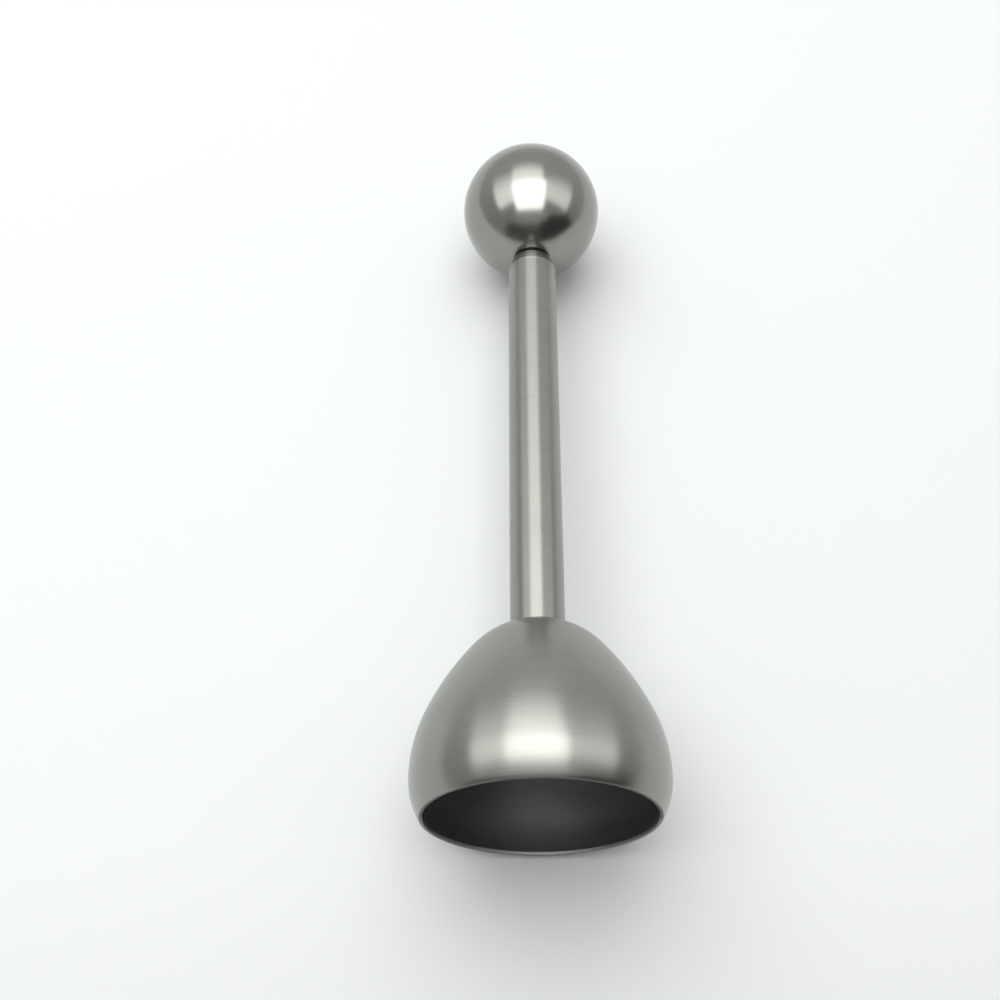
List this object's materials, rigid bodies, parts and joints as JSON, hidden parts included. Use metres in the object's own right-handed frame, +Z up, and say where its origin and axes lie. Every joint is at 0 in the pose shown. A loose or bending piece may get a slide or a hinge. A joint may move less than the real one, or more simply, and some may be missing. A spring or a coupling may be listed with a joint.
{
  "type": "egg topper",
  "caption": "Steel egg topper: a spun bell sits on the egg and a sprung ball plunger in the tube handle strikes an anvil, cracking the shell in a ring under the rim.",
  "frame": {"origin": "centre of the bell's rim, on the plane that the rim stands on", "axes": "+Z up the common axis from the bell's mouth to the ball; +X and +Y are square to it, and the outside is the same all round"},
  "size_m": [0.0386, 0.0386, 0.1304],
  "materials": {
    "bell_steel": "spun stainless steel, brushed round the axis to a satin",
    "tube_steel": "drawn stainless tube, satin along its length",
    "ball_steel": "solid stainless ball, fine brushed satin",
    "bush_steel": "turned stainless, satin",
    "rod_steel": "ground and polished stainless rod",
    "turned_steel": "bright turned steel",
    "spring_wire": "hard drawn spring wire",
    "screw_steel": "stainless machine screw",
    "washer_steel": "stainless split washer"
  },
  "bodies": {
    "handle": {"cutting_bell": "bell_steel", "handle_tube": "tube_steel", "anvil_plug": "turned_steel", "crown_screw": "screw_steel", "lock_washer": "washer_steel", "guide_bush": "bush_steel"},
    "spring": {"hammer_spring": "spring_wire"},
    "plunger": {"ball_knob": "ball_steel", "plunger_rod": "rod_steel", "striker": "turned_steel"}
  },
  "joints": [
    {"name": "plunger_turn", "type": "hinge", "parent": "handle", "child": "spring", "pos_m": [0, 0, 0], "axis": [0, 0, 1], "continuous": true},
    {"name": "plunger_pull", "type": "slide", "parent": "spring", "child": "plunger", "axis": [0, 0, 1], "range_m": [0, 0.024], "stiffness_N_per_m": 550, "springref_m": -0.012, "deforming": ["hammer_spring"]}
  ]
}
